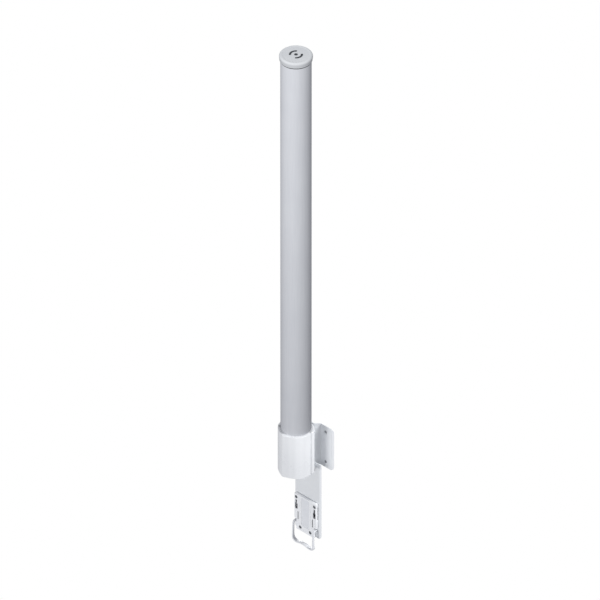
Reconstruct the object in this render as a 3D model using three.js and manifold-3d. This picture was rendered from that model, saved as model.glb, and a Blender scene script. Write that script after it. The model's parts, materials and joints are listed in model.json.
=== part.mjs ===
// Pole-mounted omnidirectional antenna: a radome tube with two stacked antenna boards inside, a collar,
// a pole bracket with two wings, and a radio plate with a snap-in radio cradle and its release lever.
//
// Millimetres, +Z up. The origin is the centre of the bracket web's pole-side face. +Y points at the
// pole, the collar's ridge and the radio cradle face -Y, and +X is to the right seen from the front.
import * as THREE from 'three';
import { mergeVertices } from 'three/addons/utils/BufferGeometryUtils.js';
import Module from 'manifold-3d';

const wasm = await Module();
wasm.setup();

// Driving dimensions.
const GAP = 0.3;                    // left between pieces that touch
const SHEET = 2.0;                  // thickness of both steel sheets
const BEND = 3.0;                   // mid-line radius of every sheet bend
const TUBE_R = 24.8;
const TUBE_WALL = 2.5;
const TUBE_BOTTOM = -40.0;
const TUBE_TOP = 750.4;
const COLLAR_HALF_HEIGHT = 40.5;
const SPLIT_V = -6.0;               // collar split, measured from the tube axis towards the front
const WING_HALF_HEIGHT = 40.0;
const WING_TIP = 47.1;
const WING_OFFSET = 7.9;            // how far the wings stand behind the web
const PLATE_HALF_WIDTH = 29.0;
const PLATE_SHOULDER = -32.2;
const PLATE_BOTTOM = -178.0;
const TONGUE_HALF_WIDTH = 11.0;
const TONGUE_TOP = 38.0;
const CRADLE_HALF_WIDTH = 24.5;
const CRADLE_TOP = -109.0;
const CRADLE_BOTTOM = -178.0;
const CRADLE_THICK = 3.7;
const PAD_THICK = 0.4;              // dark foam pad between the plate and the cradle
const LEVER_HALF_WIDTH = 24.0;
const LEVER_BOTTOM = -200.2;

// Places worked out from them.
const PLATE_BACK = -SHEET - GAP;
const PLATE_FRONT = PLATE_BACK - SHEET;
const AXIS_Y = PLATE_FRONT - 0.5 - TUBE_R;        // the tube stands half a millimetre off the plate
const BORE_R = TUBE_R - TUBE_WALL;
const PLUG_R = BORE_R - 0.4;
const COLLAR_BORE = TUBE_R + GAP;
const PAD_BACK = PLATE_FRONT - GAP;
const PAD_FRONT = PAD_BACK - PAD_THICK;
const CRADLE_BACK = PAD_FRONT - GAP;
const CRADLE_FRONT = CRADLE_BACK - CRADLE_THICK;
const SCREW_LEVELS = [-32, -12, 12, 32];

const FINE = 48;
const ROUND = 28;
const SMALL = 12;

// Finishes.
function finish(color, roughness, metalness = 0) {
  return new THREE.MeshStandardMaterial({ color, roughness, metalness });
}

const RADOME = finish(0xd6d8dc, 0.45);
const WHITE_PLASTIC = finish(0xeeeff1, 0.4);
const WHITE_COAT = finish(0xe9ebee, 0.35, 0.1);
const DARK_PLASTIC = finish(0x3c4046, 0.5);
const RUBBER = finish(0x55595f, 0.8);
const FOAM = finish(0xe9e6dc, 0.95);
const FOAM_DARK = finish(0x3a3d42, 0.95);
const LAMINATE = finish(0xc9b98a, 0.5);
const COPPER = finish(0xb87333, 0.3, 1);
const BRASS = finish(0xc9a24b, 0.3, 1);
const STEEL = finish(0xb9bcc0, 0.3, 1);
const ALLOY = finish(0xaeb2b8, 0.5, 0.9);
const JACKET = finish(0x8a5a33, 0.5);

const antenna = new THREE.Group();

// A geometry as a solid: shared corners are merged and triangles without area are dropped.
function solid(geometry) {
  const bare = geometry.clone();
  bare.deleteAttribute('normal');
  bare.deleteAttribute('uv');
  const merged = mergeVertices(bare, 1e-4);
  const index = merged.index.array;
  const triVerts = [];
  for (let i = 0; i < index.length; i += 3) {
    const [a, b, c] = [index[i], index[i + 1], index[i + 2]];
    if (a !== b && b !== c && c !== a) triVerts.push(a, b, c);
  }
  const vertProperties = new Float32Array(merged.attributes.position.array);
  const mesh = new wasm.Mesh({ numProp: 3, vertProperties, triVerts: new Uint32Array(triVerts) });
  return new wasm.Manifold(mesh);
}

// A solid back as a geometry.
function surface(shape) {
  const { vertProperties, triVerts } = shape.getMesh();
  const geometry = new THREE.BufferGeometry();
  geometry.setAttribute('position', new THREE.BufferAttribute(new Float32Array(vertProperties), 3));
  geometry.setIndex(new THREE.BufferAttribute(new Uint32Array(triVerts), 1));
  geometry.computeVertexNormals();
  return geometry;
}

function add(name, geometry, material) {
  const mesh = new THREE.Mesh(geometry, material);
  mesh.name = name;
  antenna.add(mesh);
  return mesh;
}

// A body of revolution about the vertical line through (x, y), from [radius, z] points.
function turned(points, segments, x = 0, y = AXIS_Y) {
  const profile = points.map(([r, z]) => new THREE.Vector2(r, z));
  const geometry = new THREE.LatheGeometry(profile, segments);
  geometry.rotateX(Math.PI / 2);
  return geometry.translate(x, y, 0);
}

// A closed ring or tube wall of revolution between two radii.
function ring(inner, outer, z0, z1, segments, x = 0, y = AXIS_Y) {
  return turned([[inner, z0], [outer, z0], [outer, z1], [inner, z1], [inner, z0]], segments, x, y);
}

function rod(radius, z0, z1, segments, x = 0, y = AXIS_Y) {
  return turned([[0, z0], [radius, z0], [radius, z1], [0, z1]], segments, x, y);
}

// A rod lying along Y.
function crossRod(radius, y0, y1, x, z, segments = SMALL) {
  const geometry = new THREE.CylinderGeometry(radius, radius, y1 - y0, segments);
  return geometry.translate(x, (y0 + y1) / 2, z);
}

function block(x0, x1, y0, y1, z0, z1) {
  const geometry = new THREE.BoxGeometry(x1 - x0, y1 - y0, z1 - z0);
  return geometry.translate((x0 + x1) / 2, (y0 + y1) / 2, (z0 + z1) / 2);
}

function extruded(outline, depth, curveSegments = 6) {
  return new THREE.ExtrudeGeometry(outline, { depth, bevelEnabled: false, curveSegments });
}

// A plan outline in (x, y), raised from z0 to z1.
function raised(outline, z0, z1) {
  return extruded(outline, z1 - z0).translate(0, 0, z0);
}

// A front-view outline in (x, z), pushed back from y0 to y1.
function pushed(outline, y0, y1) {
  return extruded(outline, y1 - y0).rotateX(Math.PI / 2).translate(0, y1, 0);
}

// A side-view outline in (y, z), spread sideways from x0 to x1.
function spread(outline, x0, x1) {
  const geometry = extruded(outline, x1 - x0, 8);
  return geometry.rotateX(Math.PI / 2).rotateZ(Math.PI / 2).translate(x0, 0, 0);
}

function roundedRectangle(x0, x1, z0, z1, radius) {
  const outline = new THREE.Shape();
  outline.moveTo(x0 + radius, z0);
  outline.lineTo(x1 - radius, z0);
  outline.absarc(x1 - radius, z0 + radius, radius, -Math.PI / 2, 0);
  outline.lineTo(x1, z1 - radius);
  outline.absarc(x1 - radius, z1 - radius, radius, 0, Math.PI / 2);
  outline.lineTo(x0 + radius, z1);
  outline.absarc(x0 + radius, z1 - radius, radius, Math.PI / 2, Math.PI);
  outline.lineTo(x0, z0 + radius);
  outline.absarc(x0 + radius, z0 + radius, radius, Math.PI, 1.5 * Math.PI);
  return outline;
}

// The plan outline of a bent sheet, the same to the left and right. It starts at (0, y) and follows
// steps of either a straight length or a bend in degrees, where a positive bend turns to the back.
function bentSheet(y, steps) {
  const middle = [new THREE.Vector2(0, y)];
  const normals = [new THREE.Vector2(0, 1)];
  let heading = 0;
  const walk = (length, turn) => {
    const last = middle[middle.length - 1];
    const along = heading + turn / 2;
    middle.push(new THREE.Vector2(last.x + length * Math.cos(along), last.y + length * Math.sin(along)));
    heading += turn;
    normals.push(new THREE.Vector2(-Math.sin(heading), Math.cos(heading)));
  };
  for (const step of steps) {
    if (step.straight) walk(step.straight, 0);
    if (step.bend) {
      const pieces = Math.ceil(Math.abs(step.bend) / 12);
      const turn = THREE.MathUtils.degToRad(step.bend) / pieces;
      for (let i = 0; i < pieces; i += 1) walk(2 * BEND * Math.sin(Math.abs(turn) / 2), turn);
    }
  }
  const side = (offset) => middle.map((point, i) => point.clone().addScaledVector(normals[i], offset));
  const front = side(-SHEET / 2);
  const back = side(SHEET / 2);
  const mirrored = (points) => points.slice(1).map((point) => new THREE.Vector2(-point.x, point.y));
  const mirroredBack = mirrored(back);
  return new THREE.Shape([...mirrored(front).reverse(), ...front, ...back.reverse(), ...mirroredBack]);
}

// ---------------------------------------------------------------------------------------------------
// Radome tube, with the four screw holes in its back wall, and the cap that closes its top.

function makeTube() {
  let shape = solid(ring(BORE_R, TUBE_R, TUBE_BOTTOM, TUBE_TOP, FINE));
  for (const z of SCREW_LEVELS) shape = shape.subtract(solid(crossRod(2.3, AXIS_Y + 18, AXIS_Y + 28, 0, z)));
  add('radome_tube', surface(shape), RADOME);
}

const CAP_TOP = 762.5;
const CAP_R = 26.9;
const SKIRT_BOTTOM = 752.6;
const INLAY_DEPTH = 1.1;

function emblemArc(inner, outer, middle, halfAngle) {
  const outline = new THREE.Shape();
  outline.absarc(0, 0, outer, middle - halfAngle, middle + halfAngle);
  outline.absarc(0, 0, inner, middle + halfAngle, middle - halfAngle, true);
  return outline;
}

function makeCap() {
  const rim = new THREE.EllipseCurve(22.6, CAP_TOP - 3.4, CAP_R - 22.6, 3.4, Math.PI / 2, 0, true);
  const profile = [
    [0, CAP_TOP], ...rim.getPoints(6).map((point) => [point.x, point.y]),
    [26.2, SKIRT_BOTTOM], [PLUG_R, SKIRT_BOTTOM], [PLUG_R, 742], [19, 742], [19, 757], [0, 757],
  ];
  let shape = solid(turned(profile.reverse(), FINE));
  const cut = (outline) => {
    const tool = raised(outline, CAP_TOP - INLAY_DEPTH, CAP_TOP + 1).translate(0, AXIS_Y, 0);
    shape = shape.subtract(solid(tool));
  };
  const sides = { right: 0, left: Math.PI };
  cut(new THREE.Shape().absarc(0, 0, 3.3, 0, 2 * Math.PI));
  for (const middle of Object.values(sides)) cut(emblemArc(7.4, 11.5, middle, 0.99));
  add('top_cap', surface(shape), WHITE_PLASTIC);

  const inlay = (name, outline) => {
    const geometry = raised(outline, CAP_TOP - INLAY_DEPTH + GAP, CAP_TOP - 0.1);
    add(name, geometry.translate(0, AXIS_Y, 0), DARK_PLASTIC);
  };
  inlay('emblem_dot', new THREE.Shape().absarc(0, 0, 3, 0, 2 * Math.PI));
  for (const [side, middle] of Object.entries(sides)) {
    inlay(`emblem_arc_${side}`, emblemArc(7.7, 11.2, middle, 0.95));
  }
  add('cap_seal_ring', ring(PLUG_R + GAP, 25.0, TUBE_TOP + GAP, SKIRT_BOTTOM - GAP, FINE), RUBBER);
}

// ---------------------------------------------------------------------------------------------------
// Base plug: closes the tube's foot, takes the bracket screws and holds the two connectors.

const PLUG_BOTTOM = -37;
const PLUG_TOP = 36;
const PLUG_FLOOR = 6;
const GROOVE_Z = -22;
const CONNECTOR_X = 10;

function makePlug() {
  let shape = solid(turned([
    [0, PLUG_BOTTOM], [PLUG_R, PLUG_BOTTOM], [PLUG_R, GROOVE_Z - 1.5], [19.9, GROOVE_Z - 1.5],
    [19.9, GROOVE_Z + 1.5], [PLUG_R, GROOVE_Z + 1.5], [PLUG_R, PLUG_TOP], [0, PLUG_TOP],
  ], FINE));
  for (const x of [-CONNECTOR_X, CONNECTOR_X]) {
    shape = shape.subtract(solid(rod(3.45, PLUG_BOTTOM - 1, PLUG_TOP, SMALL, x)));
    shape = shape.subtract(solid(rod(5.5, PLUG_BOTTOM + PLUG_FLOOR, PLUG_TOP + 1, SMALL, x)));
  }
  shape = shape.subtract(solid(rod(1.5, PLUG_BOTTOM - 1, PLUG_TOP + 1, SMALL, 0, AXIS_Y - 14)));
  for (const z of SCREW_LEVELS) shape = shape.subtract(solid(crossRod(2.3, -17, 0, 0, z)));
  add('base_plug', surface(shape), ALLOY);

  const section = new THREE.EllipseCurve(20.95, GROOVE_Z, 0.95, 0.95).getPoints(10);
  add('plug_o_ring', turned(section.map((point) => [point.x, point.y]), ROUND), RUBBER);
}

// Bulkhead coaxial connector: a threaded shell with a centre pin, held by a washer and a hexagon nut.
function makeConnector(index, x) {
  const flange = PLUG_BOTTOM + PLUG_FLOOR + GAP;
  const foot = -50;
  const shell = turned([
    [0, foot + 2], [0.5, foot + 2], [0.5, foot + 9], [2.3, foot + 9], [2.3, foot], [3.15, foot],
    [3.15, flange], [5.1, flange], [5.1, flange + 2.4], [2.4, flange + 2.4], [2.4, flange + 10],
    [0, flange + 10],
  ], SMALL, x);
  add(`connector_${index}`, shell, BRASS);
  const washerTop = PLUG_BOTTOM - GAP;
  add(`connector_washer_${index}`, ring(3.45, 5.6, washerTop - 0.8, washerTop, ROUND, x), STEEL);
  const nutTop = washerTop - 0.8 - GAP;
  const hexagon = solid(rod(4.7, nutTop - 2.4, nutTop, 6, x));
  const thread = solid(rod(3.45, nutTop - 3, nutTop + 1, SMALL, x));
  add(`connector_nut_${index}`, surface(hexagon.subtract(thread)), BRASS);
  return flange + 10 + GAP;
}

// ---------------------------------------------------------------------------------------------------
// Antenna boards: the lower one radiates vertical polarisation, the upper one horizontal.

const BOARD_HALF_WIDTH = 17;
const BOARD_THICK = 1.6;
const BOARDS = {
  vertical: { z0: 46, z1: 386 },
  horizontal: { z0: 392, z1: 732 },
};
const ELEMENTS = 4;
const COPPER_THICK = 0.4;
const copperFace = AXIS_Y - BOARD_THICK / 2 - GAP;

// Four sleeve dipoles in line, each a slim strip with a waist where its feed crosses.
function verticalDipole(z) {
  const outline = new THREE.Shape();
  outline.moveTo(6, z - 27);
  outline.lineTo(12, z - 27);
  outline.lineTo(12, z + 27);
  outline.lineTo(6, z + 27);
  outline.lineTo(6, z + 3);
  outline.lineTo(9, z + 3);
  outline.lineTo(9, z - 3);
  outline.lineTo(6, z - 3);
  return outline;
}

// A horizontal loop element, bent like a C round the feed.
function horizontalLoop(z) {
  const outline = new THREE.Shape();
  outline.moveTo(4, z - 14);
  outline.lineTo(15, z - 14);
  outline.lineTo(15, z + 14);
  outline.lineTo(4, z + 14);
  outline.lineTo(4, z + 10);
  outline.lineTo(11, z + 10);
  outline.lineTo(11, z - 10);
  outline.lineTo(4, z - 10);
  return outline;
}

function makeBoards() {
  const shapes = { vertical: verticalDipole, horizontal: horizontalLoop };
  for (const [name, { z0, z1 }] of Object.entries(BOARDS)) {
    const board = block(
      -BOARD_HALF_WIDTH, BOARD_HALF_WIDTH, AXIS_Y - BOARD_THICK / 2, AXIS_Y + BOARD_THICK / 2, z0, z1,
    );
    add(`${name}_board`, board, LAMINATE);
    const feedLine = block(-1.5, 1.5, copperFace - COPPER_THICK, copperFace, z0 + 14, z1 - 30);
    add(`${name}_feed_line`, feedLine, COPPER);
    const pitch = (z1 - z0) / ELEMENTS;
    for (let i = 0; i < ELEMENTS; i += 1) {
      const outline = shapes[name](z0 + pitch * (i + 0.5));
      add(`${name}_element_${i}`, pushed(outline, copperFace - COPPER_THICK, copperFace), COPPER);
    }
  }
}

// Foam discs keep the boards in the middle of the tube. Each is slotted for the board and a cable.
const SPACERS = [96, 300, 446, 650];
const CABLE_X = -12;
const CABLE_Y = AXIS_Y + 3.2;

function slottedDisc(z0, z1, cables) {
  let shape = solid(rod(BORE_R - GAP, z0, z1, ROUND));
  const margin = 0.9;
  shape = shape.subtract(solid(block(
    -BOARD_HALF_WIDTH - margin, BOARD_HALF_WIDTH + margin, AXIS_Y - 2.2, AXIS_Y + 1.5, z0 - 1, z1 + 1,
  )));
  for (const x of cables) shape = shape.subtract(solid(rod(2.2, z0 - 1, z1 + 1, SMALL, x, CABLE_Y)));
  return surface(shape);
}

function makeSpacers() {
  add('board_foot', slottedDisc(PLUG_TOP + GAP, PLUG_TOP + 18, [CABLE_X, -CABLE_X]), DARK_PLASTIC);
  SPACERS.forEach((z, i) => add(`foam_spacer_${i}`, slottedDisc(z - 7, z + 7, [CABLE_X]), FOAM));
  add('top_bumper', rod(PLUG_R - GAP, BOARDS.horizontal.z1 + GAP, 741.5, ROUND), FOAM);
}

// The two feed cables: one ends at the foot of each board.
function cable(points) {
  const stops = points.map(([x, y, z]) => new THREE.Vector3(x, y, z));
  const path = new THREE.CatmullRomCurve3(stops, false, 'centripetal');
  const section = new THREE.Shape().absarc(0, 0, 1.3, 0, 2 * Math.PI);
  const steps = Math.min(60, Math.ceil(path.getLength() / 7));
  return new THREE.ExtrudeGeometry(section, {
    steps, curveSegments: 4, bevelEnabled: false, extrudePath: path,
  });
}

function makeCables(startZ) {
  const leave = [[CONNECTOR_X, AXIS_Y, startZ], [CONNECTOR_X, AXIS_Y, startZ + 12]];
  const settle = PLUG_TOP - 20;
  const toBoard = { 0: BOARDS.horizontal.z0 + 26, 1: BOARDS.vertical.z0 + 30 };
  for (const [index, end] of Object.entries(toBoard)) {
    const side = index === '0' ? -1 : 1;
    const run = [settle, PLUG_TOP + 10, end - 12, end].map((z) => [-CABLE_X, CABLE_Y, z]);
    add(`feed_cable_${index}`, cable([...leave, ...run].map(([x, y, z]) => [side * x, y, z])), JACKET);
  }
}

// ---------------------------------------------------------------------------------------------------
// Collar: a rear saddle bonded to the tube, with a thin sleeve that goes round it, and a front shell
// that snaps over the sleeve and carries the soft ridge down its middle.

// Collar outline from the ridge round the right side to the back, as [x, forward of the tube axis].
const COLLAR_SIDE = [
  [0, 31.2], [7, 28.3], [15, 24.2], [20.5, 21], [24, 17.2], [26.5, 13.5], [28, 9.6], [28.6, 6],
];
const COLLAR_REAR = [[28.6, -12.5], [27.4, -15.4], [21, -20.5], [13, -25]];

function collarOutline(points) {
  const right = points.map(([x, v]) => new THREE.Vector2(x, AXIS_Y - v));
  const left = points.filter(([x]) => x > 0).map(([x, v]) => new THREE.Vector2(-x, AXIS_Y - v));
  return new THREE.Shape([...right, ...left.reverse()]);
}

function makeCollar() {
  const h = COLLAR_HALF_HEIGHT;
  const side = 28.6;
  const sleeveR = COLLAR_BORE + 1.1;
  let shell = solid(raised(collarOutline([...COLLAR_SIDE, [side, SPLIT_V + GAP / 2]]), -h, h));
  shell = shell.subtract(solid(rod(COLLAR_BORE, -h - 1, h + 1, FINE)));
  shell = shell.subtract(solid(rod(sleeveR + GAP, -h + 6, h - 6, FINE)));
  add('collar_front_shell', surface(shell), WHITE_PLASTIC);

  let saddle = solid(raised(collarOutline([[side, SPLIT_V - GAP / 2], ...COLLAR_REAR]), -h, h));
  saddle = saddle.add(solid(rod(sleeveR, -h + 6 + GAP, h - 6 - GAP, FINE)));
  saddle = saddle.subtract(solid(rod(COLLAR_BORE, -h - 1, h + 1, FINE)));
  saddle = saddle.subtract(solid(block(-9, 9, AXIS_Y + 15, AXIS_Y + 40, -h - 1, h + 1)));
  add('collar_saddle', surface(saddle), WHITE_PLASTIC);
}

// ---------------------------------------------------------------------------------------------------
// Pole bracket: one bent sheet. The web takes the screws, the two 45 degree bends make a V seat for the
// pole, and each wing has two holes for the pole clamps.

const HOLE_X = 31;
const HOLE_Z = 28.9;
const HEAD_R = 3.9;
const HEAD_DEPTH = 1.7;

function makeBracket() {
  const slope = (WING_OFFSET - 2 * BEND * (1 - Math.SQRT1_2)) / Math.SQRT1_2;
  const webHalf = 10.7;
  const wingStart = webHalf + 2 * BEND * Math.SQRT1_2 + slope * Math.SQRT1_2;
  const plan = bentSheet(-SHEET / 2, [
    { straight: webHalf }, { bend: 45 }, { straight: slope }, { bend: -45 },
    { straight: WING_TIP - BEND - SHEET / 2 - wingStart }, { bend: 84 },
  ]);
  let shape = solid(raised(plan, -WING_HALF_HEIGHT, WING_HALF_HEIGHT));
  const front = roundedRectangle(-WING_TIP - 0.1, WING_TIP + 0.1, -WING_HALF_HEIGHT, WING_HALF_HEIGHT, 6);
  shape = shape.intersect(solid(pushed(front, -10, 20)));
  for (const x of [-HOLE_X, HOLE_X]) {
    for (const z of [-HOLE_Z, HOLE_Z]) shape = shape.subtract(solid(crossRod(2.75, 0, 20, x, z)));
  }
  for (const z of SCREW_LEVELS) {
    const sink = new THREE.CylinderGeometry(HEAD_R + GAP, 2.3, HEAD_DEPTH, SMALL);
    shape = shape.subtract(solid(sink.translate(0, -HEAD_DEPTH / 2, z)));
    shape = shape.subtract(solid(crossRod(HEAD_R + GAP, 0, 3, 0, z)));
    shape = shape.subtract(solid(crossRod(2.3, -5, 0, 0, z)));
  }
  add('pole_bracket', surface(shape), WHITE_COAT);
}

// Rubber plug that closes a clamp hole until the hole is needed, slightly sunk from both wing faces.
function holePlug(x, z) {
  return crossRod(2.75 - GAP, WING_OFFSET - SHEET + 0.2, WING_OFFSET - 0.2, x, z);
}

// Countersunk machine screw with a hexagon socket, driven in from the pole side.
function bracketScrew(z) {
  const tip = -16;
  const profile = [
    [0, tip], [1.2, tip], [2, tip + 1], [2, -HEAD_DEPTH], [HEAD_R, -0.25], [HEAD_R, -0.05], [0, -0.05],
  ];
  const body = new THREE.LatheGeometry(profile.map(([r, y]) => new THREE.Vector2(r, y)), SMALL);
  const socket = new THREE.CylinderGeometry(1.3, 1.3, 1.4, 6).translate(0, -0.6, 0);
  return surface(solid(body).subtract(solid(socket))).translate(0, 0, z);
}

// ---------------------------------------------------------------------------------------------------
// Radio plate: a tongue behind the collar and a wide flat face below it, its long edges curled back.

const CRADLE_SCREWS = [[-20.4, -116.5], [20.4, -116.5], [-11.2, -171.5], [11.2, -171.5]];

function makePlate() {
  const plan = bentSheet(PLATE_FRONT + SHEET / 2, [
    { straight: PLATE_HALF_WIDTH - BEND - SHEET / 2 }, { bend: 84 },
  ]);
  let shape = solid(raised(plan, PLATE_BOTTOM, TONGUE_TOP));
  const t = TONGUE_HALF_WIDTH;
  const w = PLATE_HALF_WIDTH + 0.1;
  const front = new THREE.Shape();
  front.moveTo(w - 4, PLATE_BOTTOM);
  front.absarc(w - 4, PLATE_BOTTOM + 4, 4, -Math.PI / 2, 0);
  front.lineTo(w, PLATE_SHOULDER - 3);
  front.absarc(w - 3, PLATE_SHOULDER - 3, 3, 0, Math.PI / 2);
  front.lineTo(t + 2, PLATE_SHOULDER);
  front.absarc(t + 2, PLATE_SHOULDER + 2, 2, -Math.PI / 2, -Math.PI, true);
  front.lineTo(t, TONGUE_TOP);
  front.lineTo(-t, TONGUE_TOP);
  front.absarc(-t - 2, PLATE_SHOULDER + 2, 2, 0, -Math.PI / 2, true);
  front.lineTo(-w + 3, PLATE_SHOULDER);
  front.absarc(-w + 3, PLATE_SHOULDER - 3, 3, Math.PI / 2, Math.PI);
  front.lineTo(-w, PLATE_BOTTOM + 4);
  front.absarc(-w + 4, PLATE_BOTTOM + 4, 4, Math.PI, 1.5 * Math.PI);
  shape = shape.intersect(solid(pushed(front, -12, 6)));
  for (const z of SCREW_LEVELS) shape = shape.subtract(solid(crossRod(2.3, -8, 2, 0, z)));
  for (const [x, z] of CRADLE_SCREWS) shape = shape.subtract(solid(crossRod(1.8, -8, 2, x, z)));
  add('radio_plate', surface(shape), WHITE_COAT);
}

// ---------------------------------------------------------------------------------------------------
// Radio cradle: a moulded plate with two keyholes and two spring slots for the radio's hooks, a shallow
// panel down its middle, undercut sides, and a pocket in each lower corner for the lever.

const KEYHOLE_X = 20.5;
const POCKET_X = 19.9;
const POCKET_TOP = -158.0;
const PIVOT_Y = (CRADLE_FRONT + CRADLE_BACK) / 2;
const PIVOT_Z = -163;
const PIVOT_R = 1.0;

function makeCradle() {
  const profile = new THREE.Shape();
  profile.moveTo(CRADLE_BACK, CRADLE_BOTTOM);
  profile.lineTo(CRADLE_BACK, CRADLE_TOP);
  profile.lineTo(CRADLE_FRONT + 2.2, CRADLE_TOP);
  profile.lineTo(CRADLE_FRONT, CRADLE_TOP - 2.2);
  profile.lineTo(CRADLE_FRONT, CRADLE_BOTTOM + 1);
  profile.lineTo(CRADLE_FRONT + 1, CRADLE_BOTTOM);
  let shape = solid(spread(profile, -CRADLE_HALF_WIDTH, CRADLE_HALF_WIDTH));
  const outline = roundedRectangle(-CRADLE_HALF_WIDTH, CRADLE_HALF_WIDTH, CRADLE_BOTTOM, CRADLE_TOP, 2.5);
  shape = shape.intersect(solid(pushed(outline, -20, 0)));
  const y0 = CRADLE_FRONT - 1;
  const y1 = CRADLE_BACK + 1;
  const cut = (geometry) => {
    shape = shape.subtract(solid(geometry));
  };
  for (const side of [-1, 1]) {
    const between = (a, b) => [Math.min(side * a, side * b), Math.max(side * a, side * b)];
    cut(pushed(roundedRectangle(...between(KEYHOLE_X - 2.8, KEYHOLE_X + 2.8), -139, -128.5, 1.6), y0, y1));
    cut(block(...between(KEYHOLE_X - 1.5, KEYHOLE_X + 1.5), y0, y1, -130, -121.5));
    cut(block(...between(15.4, 17), y0, y1, -158.5, -142.5));
    cut(block(...between(POCKET_X, CRADLE_HALF_WIDTH + 1), y0, y1, CRADLE_BOTTOM - 1, POCKET_TOP));
    cut(block(...between(23, CRADLE_HALF_WIDTH + 1), CRADLE_BACK - 1.9, y1, -142, -117));
    const bore = new THREE.CylinderGeometry(PIVOT_R + GAP, PIVOT_R + GAP, 6, SMALL).rotateZ(Math.PI / 2);
    cut(bore.translate(side * (POCKET_X - 2.6), PIVOT_Y, PIVOT_Z));
  }
  cut(block(-8.6, 8.6, y0, CRADLE_FRONT + 0.9, -167, -113));
  for (const [x, z] of CRADLE_SCREWS) {
    cut(crossRod(1.8, y0, y1, x, z));
    cut(crossRod(2.9, y0, CRADLE_FRONT + 1.8, x, z));
  }
  add('radio_cradle', surface(shape), WHITE_PLASTIC);
}

// Foam pad that seats the cradle on the painted plate and closes the keyholes from behind.
function makePad() {
  const half = CRADLE_HALF_WIDTH - 2;
  let shape = solid(block(-half, half, PAD_FRONT, PAD_BACK, CRADLE_BOTTOM + 1, CRADLE_TOP - 1));
  for (const [x, z] of CRADLE_SCREWS) shape = shape.subtract(solid(crossRod(1.8, -8, 2, x, z)));
  add('cradle_pad', surface(shape), FOAM_DARK);
}

// Pan-head screw through the cradle and the plate.
function cradleScrew(x, z) {
  const head = CRADLE_FRONT + 1.8 - GAP;
  const profile = [
    [0, -0.8], [0.9, -0.8], [1.5, -1.6], [1.5, head], [2.6, head], [2.6, head - 0.9],
    [1.6, head - 1.6], [0, head - 1.6],
  ];
  const body = new THREE.LatheGeometry(profile.reverse().map(([r, y]) => new THREE.Vector2(r, y)), SMALL);
  return body.translate(x, 0, z);
}

// ---------------------------------------------------------------------------------------------------
// Release lever: a U-shaped bail. Its arms hook out of the cradle's pockets, run down in front of the
// cradle and meet in a thumb bar with a low hump. Each arm turns on a steel pin.

const ARM_WIDTH = 3.0;
const BAR_THICK = 3.0;

function leverFront() {
  const w = LEVER_HALF_WIDTH;
  const inner = w - ARM_WIDTH;
  const bottom = LEVER_BOTTOM;
  const outline = new THREE.Shape();
  outline.moveTo(-w, POCKET_TOP);
  outline.lineTo(-w, bottom + 6);
  outline.quadraticCurveTo(-w, bottom, -w + 7, bottom);
  outline.bezierCurveTo(-9, bottom, -8, bottom + 2.2, 0, bottom + 2.2);
  outline.bezierCurveTo(8, bottom + 2.2, 9, bottom, w - 7, bottom);
  outline.quadraticCurveTo(w, bottom, w, bottom + 6);
  outline.lineTo(w, POCKET_TOP);
  outline.lineTo(inner, POCKET_TOP);
  outline.lineTo(inner, bottom + BAR_THICK + 4);
  outline.quadraticCurveTo(inner, bottom + BAR_THICK, inner - 5, bottom + BAR_THICK);
  outline.bezierCurveTo(9, bottom + BAR_THICK, 8, bottom + BAR_THICK + 2.2, 0, bottom + BAR_THICK + 2.2);
  outline.bezierCurveTo(-8, bottom + BAR_THICK + 2.2, -9, bottom + BAR_THICK, -inner + 5, bottom + BAR_THICK);
  outline.quadraticCurveTo(-inner, bottom + BAR_THICK, -inner, bottom + BAR_THICK + 4);
  outline.lineTo(-inner, POCKET_TOP);
  return outline;
}

function leverSide() {
  const r = 1.9;
  const outline = new THREE.Shape();
  outline.moveTo(PIVOT_Y + r, PIVOT_Z);
  outline.absarc(PIVOT_Y, PIVOT_Z, r, 0, Math.PI / 2);
  outline.lineTo(-11, PIVOT_Z + r);
  outline.quadraticCurveTo(-13.9, PIVOT_Z + r, -14.2, -167);
  outline.quadraticCurveTo(-15.2, -184, -15.3, LEVER_BOTTOM - 1);
  outline.lineTo(-9.2, LEVER_BOTTOM - 1);
  outline.lineTo(-9.2, LEVER_BOTTOM + BAR_THICK + 2.6);
  outline.quadraticCurveTo(-12.2, -188, -11.5, -168);
  outline.quadraticCurveTo(-11.2, PIVOT_Z - r, -9.9, PIVOT_Z - r);
  outline.lineTo(PIVOT_Y, PIVOT_Z - r);
  outline.absarc(PIVOT_Y, PIVOT_Z, r, -Math.PI / 2, 0);
  return outline;
}

function makeLever() {
  const front = solid(pushed(leverFront(), -20, 0));
  let shape = front.intersect(solid(spread(leverSide(), -LEVER_HALF_WIDTH - 1, LEVER_HALF_WIDTH + 1)));
  const bore = new THREE.CylinderGeometry(PIVOT_R + GAP, PIVOT_R + GAP, 60, SMALL).rotateZ(Math.PI / 2);
  shape = shape.subtract(solid(bore.translate(0, PIVOT_Y, PIVOT_Z)));
  add('release_lever', surface(shape), WHITE_PLASTIC);
  for (const [name, side] of [['left', -1], ['right', 1]]) {
    const pin = new THREE.CylinderGeometry(PIVOT_R, PIVOT_R, 6.4, SMALL).rotateZ(Math.PI / 2);
    add(`lever_pin_${name}`, pin.translate(side * (LEVER_HALF_WIDTH - 3.2), PIVOT_Y, PIVOT_Z), STEEL);
  }
}

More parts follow.
